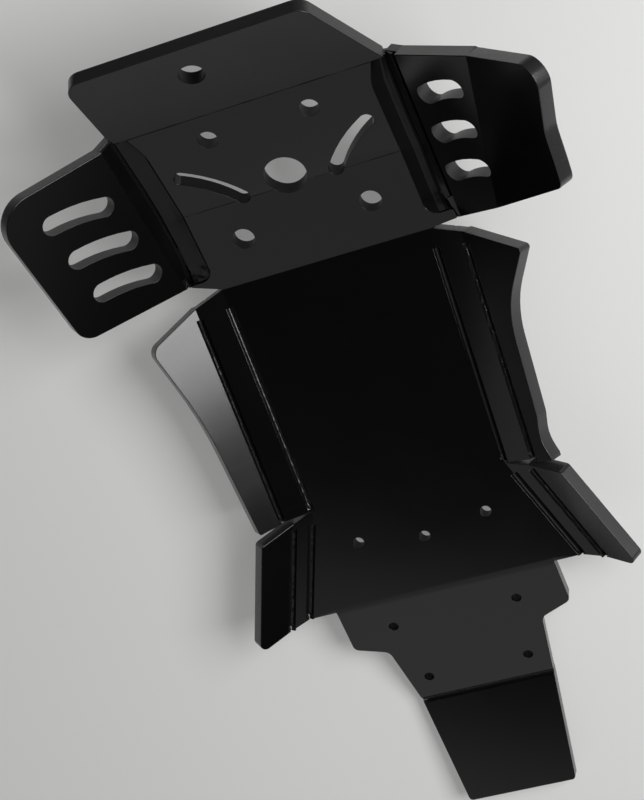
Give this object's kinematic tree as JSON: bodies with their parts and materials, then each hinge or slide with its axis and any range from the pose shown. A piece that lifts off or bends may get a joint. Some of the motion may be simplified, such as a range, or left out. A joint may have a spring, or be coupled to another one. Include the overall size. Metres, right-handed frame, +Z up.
{
  "type": "motorcycle skid plate",
  "caption": "Motorcycle skid plate folded from one thick black plastic sheet, with slotted wings, side walls, bolt holes and a stepped tail guard; shields engine and frame from below.",
  "frame": {"origin": "centre bolt hole of the belly, on the belly's inner face", "axes": "+Z up, out of the belly's inner face towards the engine; +Y towards the front of the motorcycle; +X to the rider's right"},
  "size_m": [0.3704, 0.6042, 0.1667],
  "materials": {
    "sheet": "satin black HDPE, cut edges a little lighter"
  },
  "bodies": {
    "root": {"skid_plate": "sheet"}
  },
  "joints": []
}
